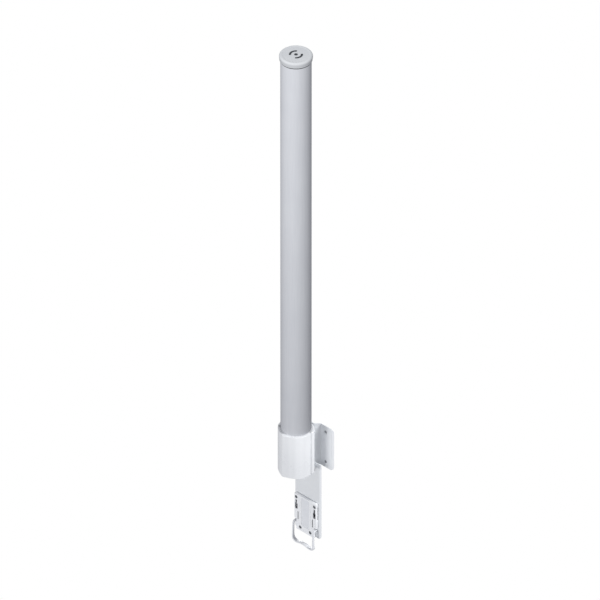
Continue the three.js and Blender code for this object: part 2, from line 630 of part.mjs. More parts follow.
makeTube();
makeCap();
makePlug();
const cableStart = makeConnector(0, -CONNECTOR_X);
makeConnector(1, CONNECTOR_X);
makeBoards();
makeSpacers();
makeCables(cableStart);
makeCollar();
makeBracket();
[[-HOLE_X, -HOLE_Z], [-HOLE_X, HOLE_Z], [HOLE_X, -HOLE_Z], [HOLE_X, HOLE_Z]].forEach(([x, z], i) => {
  add(`hole_plug_${i}`, holePlug(x, z), RUBBER);
});
SCREW_LEVELS.forEach((z, i) => add(`bracket_screw_${i}`, bracketScrew(z), STEEL));
makePlate();
makePad();
makeCradle();
CRADLE_SCREWS.forEach(([x, z], i) => add(`cradle_screw_${i}`, cradleScrew(x, z), STEEL));
makeLever();

export default antenna;
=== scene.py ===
import json

import bmesh
import bpy
import numpy as np
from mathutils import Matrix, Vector
from mathutils.geometry import delaunay_2d_cdt

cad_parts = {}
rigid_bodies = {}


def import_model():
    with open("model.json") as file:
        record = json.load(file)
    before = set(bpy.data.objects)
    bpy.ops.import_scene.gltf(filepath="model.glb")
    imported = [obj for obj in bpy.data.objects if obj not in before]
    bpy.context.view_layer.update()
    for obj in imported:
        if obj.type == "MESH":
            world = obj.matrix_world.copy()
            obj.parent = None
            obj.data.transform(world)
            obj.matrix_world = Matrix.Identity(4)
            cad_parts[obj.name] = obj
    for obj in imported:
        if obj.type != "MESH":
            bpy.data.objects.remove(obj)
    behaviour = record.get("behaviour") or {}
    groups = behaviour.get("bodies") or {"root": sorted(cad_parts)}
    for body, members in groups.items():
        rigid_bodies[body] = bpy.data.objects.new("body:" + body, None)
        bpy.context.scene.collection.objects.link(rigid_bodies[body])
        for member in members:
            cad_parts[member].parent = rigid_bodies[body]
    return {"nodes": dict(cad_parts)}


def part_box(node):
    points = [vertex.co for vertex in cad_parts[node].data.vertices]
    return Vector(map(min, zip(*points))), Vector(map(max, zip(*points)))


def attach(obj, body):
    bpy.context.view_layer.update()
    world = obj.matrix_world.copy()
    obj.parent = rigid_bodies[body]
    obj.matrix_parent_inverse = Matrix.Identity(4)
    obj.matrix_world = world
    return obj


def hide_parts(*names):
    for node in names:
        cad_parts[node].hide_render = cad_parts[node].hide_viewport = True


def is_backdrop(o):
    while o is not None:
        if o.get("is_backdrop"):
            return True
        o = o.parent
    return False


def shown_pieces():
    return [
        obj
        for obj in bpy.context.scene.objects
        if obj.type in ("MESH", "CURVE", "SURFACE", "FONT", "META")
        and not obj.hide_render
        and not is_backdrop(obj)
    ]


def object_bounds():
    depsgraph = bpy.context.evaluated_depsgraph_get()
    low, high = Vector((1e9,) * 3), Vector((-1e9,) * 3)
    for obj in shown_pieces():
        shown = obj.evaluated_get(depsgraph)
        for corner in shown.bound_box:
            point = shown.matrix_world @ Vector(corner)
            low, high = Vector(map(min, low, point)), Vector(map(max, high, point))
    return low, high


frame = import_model()
cad_box = [[float(v) for v in corner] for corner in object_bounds()]

# ---- Camera, stage and studio light ---------------------------------------------------------------
# The antenna hangs in a bright studio, seen from its front right corner and from above. A very long
# lens far away keeps all upright lines parallel. The floor is a square of pale paper well below it.

MM = 0.001


def box_mm(name):
    """The two far corners of a CAD node's box, in millimetres."""
    return (np.array(corner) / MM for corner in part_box(name))


tube_low, tube_high = box_mm("radome_tube")
MIDDLE = (tube_low + tube_high) / 2
AXIS_Y = MIDDLE[1]

VIEW_WIDTH = 0.9512     # metres across the picture at the antenna
LENS = 1500.0
SENSOR = 36.0
AIM = (MIDDLE + [4.5, 4.5, -66.6]) * MM
AZIMUTH = np.radians(45)
ELEVATION = np.radians(35.264)


def toward(azimuth, elevation):
    """Unit vector from the object to a viewer: azimuth is counted from the front round to the right."""
    flat = np.cos(elevation)
    return np.array([np.sin(azimuth) * flat, -np.cos(azimuth) * flat, np.sin(elevation)])


def aim(obj, place, target):
    """Puts an object at a place and turns its -Z axis to the target."""
    obj.location = place
    obj.rotation_euler = Vector(target - place).to_track_quat("-Z", "Y").to_euler()


camera_data = bpy.data.cameras.new("camera")
camera_data.lens = LENS
camera_data.sensor_width = SENSOR
camera_data.clip_start = 1.0
camera_data.clip_end = 200.0
camera = bpy.data.objects.new("camera", camera_data)
bpy.context.collection.objects.link(camera)
aim(camera, AIM + toward(AZIMUTH, ELEVATION) * VIEW_WIDTH * LENS / SENSOR, AIM)
bpy.context.scene.camera = camera
bpy.context.scene.view_settings.view_transform = "Standard"


def linear(hex_code):
    """An sRGB hex colour as linear RGBA: c / 12.92 near black, else ((c + 0.055) / 1.055) ** 2.4."""
    srgb = np.array([int(hex_code[i:i + 2], 16) for i in (1, 3, 5)]) / 255
    values = np.where(srgb <= 0.04045, srgb / 12.92, ((srgb + 0.055) / 1.055) ** 2.4)
    return (*values.tolist(), 1.0)


def add_node(tree, kind, values=None, links=None, **properties):
    """Adds one node, sets its properties and input values, and links its inputs."""
    node = tree.nodes.new(kind)
    for name, value in properties.items():
        setattr(node, name, value)
    for name, value in (values or {}).items():
        node.inputs[name].default_value = value
    for name, socket in (links or {}).items():
        tree.links.new(socket, node.inputs[name])
    return node


# The air lights the antenna a little less than white, and looks pure white behind it.
world = bpy.data.worlds.new("studio_air")
world.use_nodes = True
world.node_tree.nodes.clear()
seen = add_node(world.node_tree, "ShaderNodeLightPath")
fill_air = add_node(world.node_tree, "ShaderNodeBackground", {"Color": linear("#f8f9ff"), "Strength": 0.37})
white_air = add_node(world.node_tree, "ShaderNodeBackground", {"Color": linear("#ffffff"), "Strength": 1.0})
air = add_node(world.node_tree, "ShaderNodeMixShader", links={
    0: seen.outputs["Is Camera Ray"], 1: fill_air.outputs[0], 2: white_air.outputs[0]})
add_node(world.node_tree, "ShaderNodeOutputWorld", links={"Surface": air.outputs[0]})
bpy.context.scene.world = world


LIGHT_DISTANCE = 3.0


def softbox(name, azimuth, elevation, width, height, power, only=None):
    """An area light that faces the middle of the antenna. It can be kept to one collection's pieces."""
    data = bpy.data.lights.new(name, "AREA")
    data.shape = "RECTANGLE"
    data.size = width
    data.size_y = height
    data.energy = power
    light = bpy.data.objects.new(name, data)
    bpy.context.collection.objects.link(light)
    aim(light, AIM + toward(np.radians(azimuth), np.radians(elevation)) * LIGHT_DISTANCE, AIM)
    if only:
        light.light_linking.receiver_collection = only


# The tube, the cap and the rest each have lights of their own, as on a composed studio plate.
tube_set = bpy.data.collections.new("lit_as_tube")
cap_set = bpy.data.collections.new("lit_as_cap")
bracket_set = bpy.data.collections.new("lit_as_bracket")
softbox("key_left", 25, 38, 1.2, 1.4, 72, tube_set)
softbox("front_soft", -9, -8, 1.0, 0.8, 47, bracket_set)
softbox("cap_soft", 25, 50, 1.6, 1.6, 65, cap_set)
softbox("side_soft", 107, 34, 0.8, 1.2, 96, bracket_set)
softbox("rear_fill", 225, 5, 1.2, 1.2, 40)

FLOOR_DROP = 0.6        # metres below the antenna's lowest point
FLOOR_SIZE = 0.8
FLOOR_Z = cad_box[0][2] - FLOOR_DROP
corners = np.array([[-1, -1], [1, -1], [1, 1], [-1, 1]]) * FLOOR_SIZE / 2
floor_mesh = bpy.data.meshes.new("floor")
floor_mesh.from_pydata([(x, y, FLOOR_Z) for x, y in corners.tolist()], [], [(0, 1, 2, 3)])
floor = bpy.data.objects.new("floor", floor_mesh)
bpy.context.collection.objects.link(floor)
paper = bpy.data.materials.new("floor_pale_paper")
paper.use_nodes = True
paper_shader = paper.node_tree.nodes["Principled BSDF"]
paper_shader.inputs["Base Color"].default_value = linear("#fbfbfb")
paper_shader.inputs["Roughness"].default_value = 0.9
floor_mesh.materials.append(paper)
floor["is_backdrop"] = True
cap_set.objects.link(floor)

# ---- Radome tube ----------------------------------------------------------------------------------
# A pultruded fibreglass tube, light grey, with a satin gel coat that hides the glass. Its foot is
# bonded into the collar and its top edge carries the cap.


def grid_faces(rows, columns, close_rows=False, close_columns=False):
    """Quads of a grid of points, row after row; a closed direction joins its last line to its first."""
    i = np.arange(rows if close_rows else rows - 1)[:, None]
    j = np.arange(columns if close_columns else columns - 1)[None, :]
    below, right = (i + 1) % rows, (j + 1) % columns
    quads = [i * columns + j, i * columns + right, below * columns + right, below * columns + j]
    return np.stack(np.broadcast_arrays(*quads), -1).reshape(-1, 4).tolist()


def fit(name, points, faces, material, body, nodes, tidy_normals=False):
    """Makes a piece from points in millimetres and lets it ride on a body in place of CAD nodes. Tidy
    normals keep the broad flat faces of a sheet or moulding flat up to their rounded edges."""
    mesh = bpy.data.meshes.new(name)
    mesh.from_pydata((np.asarray(points).reshape(-1, 3) * MM).tolist(), [], faces)
    shape = bmesh.new()
    shape.from_mesh(mesh)
    bmesh.ops.remove_doubles(shape, verts=shape.verts, dist=1e-7)
    bmesh.ops.recalc_face_normals(shape, faces=shape.faces)
    shape.to_mesh(mesh)
    shape.free()
    mesh.polygons.foreach_set("use_smooth", np.ones(len(mesh.polygons), bool))
    mesh.materials.append(material)
    piece = bpy.data.objects.new(name, mesh)
    bpy.context.collection.objects.link(piece)
    if tidy_normals:
        piece.modifiers.new("flats_lead", "WEIGHTED_NORMAL")
    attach(piece, body)
    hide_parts(*nodes)
    return piece


def unit(vectors):
    """Each vector divided by its length."""
    return vectors / np.linalg.norm(vectors, axis=-1, keepdims=True)


def rounded(corners, radii, closed=True, steps=6):
    """Rounds the corners of an outline. An arc of radius r touches both sides r / tan(half angle) away
    from the corner, and its points turn evenly about a centre r / sin(half angle) from it."""
    corners = np.array(corners, float)
    radii = np.broadcast_to(np.array(radii, float), len(corners)).copy()
    if not closed:
        radii[[0, -1]] = 0
    back = unit(np.roll(corners, 1, 0) - corners)
    ahead = unit(np.roll(corners, -1, 0) - corners)
    half = np.arccos(np.clip((back * ahead).sum(1), -1, 1)) / 2
    half = np.where(np.isclose(half, np.pi / 2), np.pi / 2 - 1e-4, half)
    centre = corners + unit(back + ahead + 1e-9) * (radii / np.sin(half))[:, None]
    start = corners + back * (radii / np.tan(half))[:, None] - centre
    end = corners + ahead * (radii / np.tan(half))[:, None] - centre
    sweep = (np.pi - 2 * half)[:, None, None]
    u = np.linspace(0, 1, steps + 1)[None, :, None]
    arcs = (np.sin((1 - u) * sweep) * start[:, None] + np.sin(u * sweep) * end[:, None]) / np.sin(sweep)
    points = (centre[:, None] + arcs).reshape(-1, 2)
    step = np.linalg.norm(points - np.roll(points, 1, 0), axis=1)
    keep = step > 1e-5
    if not closed:
        keep[0] = True
    return points[keep]


def turned(profile, segments=96, centre=MIDDLE[:2], closed=True):
    """Turns a profile of (radius, height) about an upright line: point (i, j) stands at radius r_i in
    the direction of the j-th of equal angles."""
    angle = np.linspace(0, 2 * np.pi, segments, endpoint=False)
    r, z = np.array(profile, float).T
    points = np.stack([
        centre[0] + r[:, None] * np.cos(angle),
        centre[1] + r[:, None] * np.sin(angle),
        np.broadcast_to(z[:, None], (len(r), segments)),
    ], -1)
    return points, grid_faces(len(r), segments, closed, True)


GLOSS_DRIFT = 0.05


def coated(name, light, dark, roughness, grain, depth, cloud, stretch=(1, 1, 1), **sockets):
    """A surface of one colour that drifts a little over its cloud size, with a fine relief. Sizes are
    in millimetres; the relief's grain follows the stretch of the pattern."""
    material = bpy.data.materials.new(name)
    material.use_nodes = True
    tree = material.node_tree
    shader = tree.nodes["Principled BSDF"]
    for socket, value in sockets.items():
        shader.inputs[socket.replace("_", " ")].default_value = value
    place = add_node(tree, "ShaderNodeTexCoord")
    run = add_node(tree, "ShaderNodeMapping", {"Scale": stretch}, {"Vector": place.outputs["Object"]})
    clouds = add_node(tree, "ShaderNodeTexNoise", {"Scale": 1 / (cloud * MM), "Detail": 4.0},
                      {"Vector": place.outputs["Object"]})
    relief = add_node(tree, "ShaderNodeTexNoise", {"Scale": 1 / (grain * MM), "Detail": 3.0},
                      {"Vector": run.outputs["Vector"]})
    both = add_node(tree, "ShaderNodeMath", links={0: clouds.outputs["Fac"], 1: relief.outputs["Fac"]},
                    operation="MULTIPLY_ADD", values={2: 0.0})
    tone = add_node(tree, "ShaderNodeMapRange", {"From Min": 0.12, "From Max": 0.42},
                    {"Value": both.outputs[0]})
    colour = add_node(tree, "ShaderNodeMix", {6: linear(dark), 7: linear(light)},
                      {0: tone.outputs["Result"]}, data_type="RGBA")
    gloss = add_node(tree, "ShaderNodeMapRange", {
        "From Min": 0.3, "From Max": 0.7, "To Min": roughness - GLOSS_DRIFT,
        "To Max": roughness + GLOSS_DRIFT,
    }, {"Value": clouds.outputs["Fac"]})
    bump = add_node(tree, "ShaderNodeBump", {"Strength": 1.0, "Distance": depth * MM},
                    {"Height": relief.outputs["Fac"]})
    tree.links.new(colour.outputs[2], shader.inputs["Base Color"])
    tree.links.new(gloss.outputs["Result"], shader.inputs["Roughness"])
    tree.links.new(bump.outputs["Normal"], shader.inputs["Normal"])
    return material


# Gel coat: a soft satin that shows faint lengthwise glass strands, drawn 2 mm apart.
gel_coat = coated("gel_coated_fibreglass_satin", "#d0d2d6", "#c9cbd0", 0.5, 2.0, 0.02, 90,
                  stretch=(1, 1, 0.04), IOR=1.5)
TUBE_R = (tube_high[0] - tube_low[0]) / 2
WALL = 2.5
FINE = 128              # segments round the largest turned pieces
tube_profile = rounded([
    [TUBE_R - WALL, tube_low[2]], [TUBE_R, tube_low[2]],
    [TUBE_R, tube_high[2]], [TUBE_R - WALL, tube_high[2]],
], 0.4)
points, faces = turned(tube_profile, FINE)
radome = fit("radome_tube_skin", points, faces, gel_coat, "antenna", ["radome_tube"])
tube_set.objects.link(radome)

# ---- Top cap, its seal and its emblem --------------------------------------------------------------
# A moulded light grey cap, pressed into the tube with a hollow spigot. Its broad rounded rim stands
# proud of the tube over a dark rubber ring, and a dark emblem is inlaid in its slightly dished top.

# Spark-eroded mould texture: a fine even grain, 0.9 mm across so that it shows, and almost no shine.
cap_plastic = coated("moulded_light_grey_plastic_fine_grain", "#d9dbdd", "#d0d3d6", 0.75, 0.9, 0.02, 45,
                     IOR=1.4)
# Soft black rubber: dull, with a slight bloom in patches about 20 mm wide.
seal_rubber = coated("moulded_dark_rubber_dull", "#2e3135", "#26292c", 0.75, 0.6, 0.03, 20)
# The emblem is a smooth dark plastic with a soft shine.
dark_plastic = coated("moulded_dark_grey_plastic_satin", "#3d4147", "#34383d", 0.45, 0.5, 0.015, 15)

cap_low, cap_high = box_mm("top_cap")
CAP_R = (cap_high[0] - cap_low[0]) / 2
cap_top = cap_high[2]
SKIRT_HEIGHT = 9.9
SPIGOT_WALL = 2.9
DISH = 0.35
skirt = cap_top - SKIRT_HEIGHT
spigot_r = TUBE_R - WALL - 0.4
cap_profile = rounded([
    [0, cap_top - DISH], [21.2, cap_top - DISH], [22.4, cap_top], [CAP_R, cap_top],
    [CAP_R - 0.1, cap_top - 4.4], [CAP_R - 0.8, skirt], [spigot_r, skirt], [spigot_r, cap_low[2]],
    [spigot_r - SPIGOT_WALL, cap_low[2]], [spigot_r - SPIGOT_WALL, skirt + 2.6], [0, skirt + 2.6],
], [0, 0.6, 0.6, 3.2, 3.0, 0.5, 0.3, 0.8, 0.5, 1.0, 0], closed=False, steps=8)
points, faces = turned(cap_profile, FINE, closed=False)
cap = fit("top_cap_moulding", points, faces, cap_plastic, "antenna", ["top_cap"])

seal_low, seal_high = box_mm("cap_seal_ring")
seal_profile = rounded([
    [spigot_r + 0.3, seal_low[2]], [TUBE_R + 0.15, seal_low[2]],
    [TUBE_R + 0.15, seal_high[2]], [spigot_r + 0.3, seal_high[2]],
], 0.5)
points, faces = turned(seal_profile, FINE)
seal = fit("cap_seal_ring_soft", points, faces, seal_rubber, "antenna", ["cap_seal_ring"])
cap_set.objects.link(cap)
cap_set.objects.link(seal)


def spaced(loop, step):
    """Adds points to a closed outline so that none of its sides is longer than a step."""
    ahead = np.roll(loop, -1, 0)
    counts = np.maximum(1, np.ceil(np.linalg.norm(ahead - loop, axis=1) / step)).astype(int)
    side = np.repeat(np.arange(len(loop)), counts)
    share = (np.arange(len(side)) - np.repeat(np.cumsum(counts) - counts, counts)) / counts[side]
    return loop[side] + (ahead[side] - loop[side]) * share[:, None]


def inside(spots, loops):
    """True for the spots that lie in an odd number of the closed outlines: each side that a ray to the
    right crosses turns the answer over."""
    count = np.zeros(len(spots), int)
    for loop in loops:
        a, b = loop, np.roll(loop, -1, 0)
        spans = (a[:, 1] > spots[:, 1:]) != (b[:, 1] > spots[:, 1:])
        rise = np.where(b[:, 1] == a[:, 1], 1e-12, b[:, 1] - a[:, 1])
        reach = a[:, 0] + (spots[:, 1:] - a[:, 1]) * (b[:, 0] - a[:, 0]) / rise
        count += (spans & (spots[:, :1] < reach)).sum(1)
    return count % 2 == 1


def filled(loops, lattice):
    """Triangles over the first outline, open inside the others, with lattice points in the middle."""
    if len(lattice):
        rims = np.concatenate(loops)
        clear = np.array([np.min(np.hypot(*(rims - spot).T)) > 0.35 for spot in lattice])
        lattice = lattice[clear & inside(lattice, loops)]
    spots = np.concatenate([*loops, lattice]) if len(lattice) else np.concatenate(loops)
    starts = np.cumsum([0, *map(len, loops)])
    edges = [(int(s + i), int(s + (i + 1) % len(loop)))
             for s, loop in zip(starts, loops) for i in range(len(loop))]
    flat = [Vector(p) for p in spots.tolist()]
    _, _, triangles, origins, _, _ = delaunay_2d_cdt(flat, edges, [], 0, 1e-7)
    triangles = np.array([[origins[v][0] for v in face] for face in triangles])
    return spots, triangles[inside(spots[triangles].mean(1), loops)]


def mitres(loop):
    """Outward directions of an outline at its points: the sum of both sides' normals, divided by one
    plus their dot product, which keeps offset sides parallel."""
    along = unit(np.roll(loop, -1, 0) - loop)
    out = np.stack([along[:, 1], -along[:, 0]], -1)
    before = np.roll(out, 1, 0)
    return (out + before) / (1 + (out * before).sum(1, keepdims=True)).clip(0.3)


def plate(outline, edge, holes=(), dents=(), lattice=()):
    """A flat solid as points (across, up, height). Every outline carries rows of (inset, height) from the
    face to the back, and the face and back are filled between them. A dent's last row is filled alone.
    The outline runs with the solid on its left, and so do holes and dents."""
    blocks, faces, total = [], [], 0
    lattice = np.array(lattice, float).reshape(-1, 2)

    def keep(flat, heights, new_faces):
        nonlocal total
        blocks.append(np.concatenate([flat, np.broadcast_to(heights, len(flat))[:, None]], 1))
        faces.extend((np.array(new_faces) + total).tolist())
        total += len(flat)

    tops, backs = [], []
    through = [(outline, edge), *holes]
    for number, (loop, rows) in enumerate([*through, *dents]):
        inset, height = rows[..., 0], rows[..., 1]
        shape = (len(rows), len(loop))
        inset, height = (np.broadcast_to(v.reshape(len(rows), -1), shape) for v in (inset, height))
        ring = loop[None] - mitres(loop)[None] * inset[..., None]
        keep(ring.reshape(-1, 2), height.reshape(-1), grid_faces(len(rows), len(loop), False, True))
        tops.append(ring[0])
        if number < len(through):
            backs.append(ring[-1])
        else:
            spots, triangles = filled([ring[-1]], [])
            keep(spots, height[-1, 0], triangles)
    for loops, height in ((tops, edge[0, ..., 1].max()), (backs, edge[-1, ..., 1].min())):
        spots, triangles = filled(loops, lattice)
        keep(spots, height, triangles)
    return np.concatenate(blocks), faces


def round_edge(thick, front, back, steps=4):
    """Rows of (inset, height) for a plate edge: a quarter turn of one radius at the face, a straight
    side, and a quarter turn of another radius at the back."""
    turn = np.linspace(0, np.pi / 2, steps + 1)
    face = np.stack([front * (1 - np.sin(turn)), thick - front * (1 - np.cos(turn))], -1)
    rear = np.stack([back * (1 - np.cos(turn)), back * (1 - np.sin(turn))], -1)
    return np.concatenate([face, rear])


def disc(radius, x=0.0, z=0.0, count=40):
    """A circle as an outline, run with its inside on the left."""
    angle = np.linspace(0, 2 * np.pi, count, endpoint=False)
    return np.stack([x + radius * np.cos(angle), z + radius * np.sin(angle)], -1)


def wave(inner, outer, middle, half):
    """A bent bar between two radii: a rounded bar whose length is laid round the emblem's centre."""
    reach = half * (inner + outer) / 2
    bar = spaced(rounded([[-reach, outer], [reach, outer], [reach, inner], [-reach, inner]], 0.9), 0.6)
    angle = middle + bar[:, 0] / reach * half
    return np.stack([np.cos(angle), np.sin(angle)], -1) * bar[:, 1:]


EMBLEM_TOP = cap_top - 0.1
EMBLEM_THICK = 0.7
ARC_INNER, ARC_OUTER = 7.7, 11.2
ARC_HALF_ANGLE = 0.95
emblem = {
    "emblem_dot": disc(3.0),
    "emblem_arc_right": wave(ARC_INNER, ARC_OUTER, 0.0, ARC_HALF_ANGLE),
    "emblem_arc_left": wave(ARC_INNER, ARC_OUTER, np.pi, ARC_HALF_ANGLE),
}
for name, outline in emblem.items():
    points, faces = plate(outline, round_edge(EMBLEM_THICK, 0.15, 0.05))
    points += [*MIDDLE[:2], EMBLEM_TOP - EMBLEM_THICK]
    inlay = fit(f"{name}_inlay", points, faces, dark_plastic, "antenna", [name], True)
    cap_set.objects.link(inlay)

# ---- Base plug and connectors ---------------------------------------------------------------------
# A die-cast plug fills the tube's foot. Two threaded coaxial connectors stand down from its floor, each
# locked by a washer and a hexagon nut, and a small hole in front of them drains the tube.

# Shot-blasted casting: matt grey metal with a fine pitted skin.
cast_alloy = coated("die_cast_alloy_blasted", "#b4b8bd", "#9fa3a9", 0.5, 0.7, 0.04, 25, Metallic=0.9)
# Gold plate over brass, with turning marks round the shell.
gold_brass = coated("turned_brass_gold_plated", "#d2ab54", "#c0983f", 0.28, 0.4, 0.01, 8, stretch=(1, 1, 8),
                    Metallic=1.0)
# Bright stainless steel, with turning marks round the head.
bright_steel = coated("stainless_steel_turned", "#c6c9cc", "#b2b5b9", 0.3, 0.5, 0.01, 10, stretch=(1, 6, 1),
                      Metallic=1.0)

plug_low, plug_high = box_mm("base_plug")
plug_r = (plug_high[0] - plug_low[0]) / 2
CONNECTOR_X = [float(sum(box_mm(f"connector_{i}"))[0]) / 2 for i in (0, 1)]
WASHER_BORE = 3.45
THREAD_R = 3.15
THREAD_DEPTH = 0.25
THREAD_PITCH = 0.7
rim_rows = round_edge(plug_high[2] - plug_low[2], 0.6, 0.8)
plug_holes = [(disc(WASHER_BORE, x)[::-1], round_edge(rim_rows[0, 1], 0.2, 0.4)) for x in CONNECTOR_X]
plug_holes.append((disc(1.5, 0, -14)[::-1], round_edge(rim_rows[0, 1], 0.2, 0.3)))
points, faces = plate(disc(plug_r, count=96), rim_rows, plug_holes)
points += [*MIDDLE[:2], plug_low[2]]
fit("base_plug_casting", points, faces, cast_alloy, "antenna", ["base_plug"], True)

for i, x in enumerate(CONNECTOR_X):
    low, high = box_mm(f"connector_{i}")
    turns = np.arange(low[2] + 0.6, low[2] + 12, THREAD_PITCH / 2)
    crest = THREAD_R - THREAD_DEPTH * (np.arange(len(turns)) % 2)
    foot, top = low[2], high[2]
    shell = [
        [0, foot + 2], [0.45, foot + 2.3], [0.45, foot + 9], [2.3, foot + 9], [2.3, foot + 0.3],
        [2.6, foot], [2.9, foot], *np.stack([crest, turns], -1).tolist(), [3.1, top - 10],
        [5.1, top - 10], [5.1, top - 7.6], [2.4, top - 7.6], [2.4, top], [0, top],
    ]
    points, faces = turned(shell, 40, (x, AXIS_Y), closed=False)
    fit(f"connector_{i}_shell", points, faces, gold_brass, "antenna", [f"connector_{i}"])
    low, high = box_mm(f"connector_washer_{i}")
    ring = rounded([
        [WASHER_BORE, low[2]], [5.6, low[2]], [5.6, high[2]], [WASHER_BORE, high[2]],
    ], 0.2, steps=3)
    points, faces = turned(ring, 48, (x, AXIS_Y))
    fit(f"connector_washer_{i}_ring", points, faces, bright_steel, "antenna",
        [f"connector_washer_{i}"])
    low, high = box_mm(f"connector_nut_{i}")
    hexagon = rounded(disc(4.7, count=6), 0.4, steps=3)
    nut_height = high[2] - low[2]
    points, faces = plate(hexagon, round_edge(nut_height, 0.3, 0.3, 2),
                          [(disc(3.4)[::-1], round_edge(nut_height, 0.25, 0.25, 2))])
    points += [x, AXIS_Y, low[2]]
    fit(f"connector_nut_{i}_hexagon", points, faces, gold_brass, "antenna",
        [f"connector_nut_{i}"], True)

# ---- Collar ---------------------------------------------------------------------------------------
# Two white plastic mouldings wrap the tube's foot. The front shell has a soft ridge down its middle
# and snaps over the sleeve of the rear saddle, which is bonded to the tube and bears on the plate.

collar_low, collar_high = box_mm("collar_front_shell")
HALF_HEIGHT = (collar_high[2] - collar_low[2]) / 2
COLLAR_SIDE = 28.6
BORE = TUBE_R + 0.3
SPLIT = -6.0
SEAM = 0.3
RIDGE = AXIS_Y - collar_low[1]


def along(path, count):
    """Points spaced evenly by length along an open path."""
    run = np.concatenate([[0], np.cumsum(np.linalg.norm(np.diff(path, axis=0), axis=1))])
    even = np.linspace(0, run[-1], count)
    return np.stack([np.interp(even, run, path[:, k]) for k in (0, 1)], -1)


def wall(outer, inner, half_height, edge):
    """A curved wall: line j runs from inner point j to outer point j, and its upright section is a
    rectangle whose outer corners are rounded. The two end sections are closed."""
    turn = np.linspace(0, np.pi / 2, 6)
    pull, drop = edge * (1 - np.sin(turn)), edge * (1 - np.cos(turn))
    inset = np.concatenate([pull, pull[::-1]])
    rise = np.concatenate([half_height - drop, drop[::-1] - half_height])
    depth = np.linalg.norm(outer - inner, axis=1)
    share = 1 - inset[:, None] / depth[None]
    near_bore = np.full_like(share[:1], 0.06)
    share = np.concatenate([near_bore, share, near_bore, share[:2] * 0])
    rise = np.concatenate([[half_height], rise, [-half_height, -half_height + 0.3, half_height - 0.3]])
    flat = inner[None] + (outer - inner)[None] * share[..., None]
    points = np.concatenate([flat, np.broadcast_to(rise[:, None, None], (*flat.shape[:2], 1))], -1)
    rows, columns = points.shape[:2]
    faces = grid_faces(rows, columns, True, False)
    ends = [[i * columns for i in range(rows)], [i * columns + columns - 1 for i in range(rows)]]
    return points, faces + ends


def place_plan(points):
    """From (right, forward of the tube axis, up) to the antenna's own axes."""
    flat = points.reshape(-1, 3) * [1, -1, 1]
    return flat + [0, AXIS_Y, 0]


EDGE = 0.9
SEAM_EASE = 1.6
FRONT_LINES, REAR_LINES = 150, 60
front_corners = [
    [COLLAR_SIDE, SPLIT + SEAM], [COLLAR_SIDE, 6.5], [26.3, 14.3], [20.2, 21.1], [10.5, 26.9],
    [0, RIDGE + 0.2],
]
front_corners += [[-x, v] for x, v in front_corners[-2::-1]]
front_radii = [0, 14, 14, 20, 30, 3, 30, 20, 14, 14, 0]
front_path = along(rounded(front_corners, front_radii, closed=False, steps=14), FRONT_LINES)
bore_angle = np.arcsin((SPLIT + SEAM) / BORE)
turn = np.arctan2(front_path[:, 1], front_path[:, 0])
turn = bore_angle + (turn - turn[0]) * (np.pi - 2 * bore_angle) / (turn[-1] - turn[0])
bore_path = np.stack([np.cos(turn), np.sin(turn)], -1) * BORE
# The seam edge is eased: the last lines of the wall pull in by a quarter turn.
line = np.arange(FRONT_LINES)
ease = (np.minimum(line, line[::-1]) / 3.0).clip(0, 1)
front_path -= unit(front_path) * (SEAM_EASE * (1 - np.sqrt(1 - (1 - ease) ** 2)))[:, None]
points, faces = wall(front_path, bore_path, HALF_HEIGHT, EDGE)
# White plastic from a polished mould: semi-gloss, with a thin clear sheen over a very fine grain.
collar_plastic = coated("moulded_white_plastic_semi_gloss", "#edeff1", "#e6e8eb", 0.3, 0.9, 0.015, 45,
                        IOR=1.5, Coat_Weight=0.25, Coat_Roughness=0.12)
fit("collar_front_shell_moulding", place_plan(points), faces, collar_plastic, "antenna",
    ["collar_front_shell"])

SADDLE_GAP = 9.0        # half the width of the saddle's open back
rear_corners = [
    [COLLAR_SIDE, SPLIT - SEAM], [COLLAR_SIDE, -13.0], [21, -20.6], [13, -25], [SADDLE_GAP, -25],
]
rear_path = along(rounded(rear_corners, [0, 3, 3, 2, 0], closed=False, steps=8), REAR_LINES)
turn = np.linspace(np.arcsin((SPLIT - SEAM) / BORE), -np.arccos(SADDLE_GAP / BORE), REAR_LINES)
rear_bore = np.stack([np.cos(turn), np.sin(turn)], -1) * BORE
ease = (np.arange(REAR_LINES) / 6.0).clip(0, 1)
rear_path -= unit(rear_path) * (SEAM_EASE * (1 - np.sqrt(1 - (1 - ease) ** 2)))[:, None]
points, faces = wall(rear_path, rear_bore, HALF_HEIGHT, EDGE)
right_rail = place_plan(points)
gap_angle = np.arcsin(SADDLE_GAP / BORE)
turn = np.linspace(-np.pi / 2 + gap_angle, 1.5 * np.pi - gap_angle, 90)
ring_line = np.stack([np.cos(turn), np.sin(turn)], -1)
sleeve_points, sleeve_faces = wall(ring_line * (BORE + 1.0), ring_line * BORE, HALF_HEIGHT - 6.5, 0.2)
sleeve = place_plan(sleeve_points)
saddle_points = np.concatenate([right_rail, right_rail * [-1, 1, 1], sleeve])
saddle_faces = [[v + shift for v in face] for shift in (0, len(right_rail)) for face in faces]
saddle_faces += [[v + 2 * len(right_rail) for v in face] for face in sleeve_faces]
fit("collar_saddle_moulding", saddle_points, saddle_faces, collar_plastic, "antenna",
    ["collar_saddle"])

# ---- Pole bracket ---------------------------------------------------------------------------------
# One blank of 2 mm steel sheet, pressed so that its web stands forward of two wings with 45 degree
# sides that seat the pole. It is powder coated white, and its outer edges curl back.

# Powder coat: orange peel about 1.2 mm across, under a thin sheen.
powder_coat = coated("powder_coated_steel_white", "#e6e8eb", "#dfe2e5", 0.33, 1.2, 0.03, 50,
                     Coat_Weight=0.2, Coat_Roughness=0.15)
SHEET = 2.0
BEND = 3.0


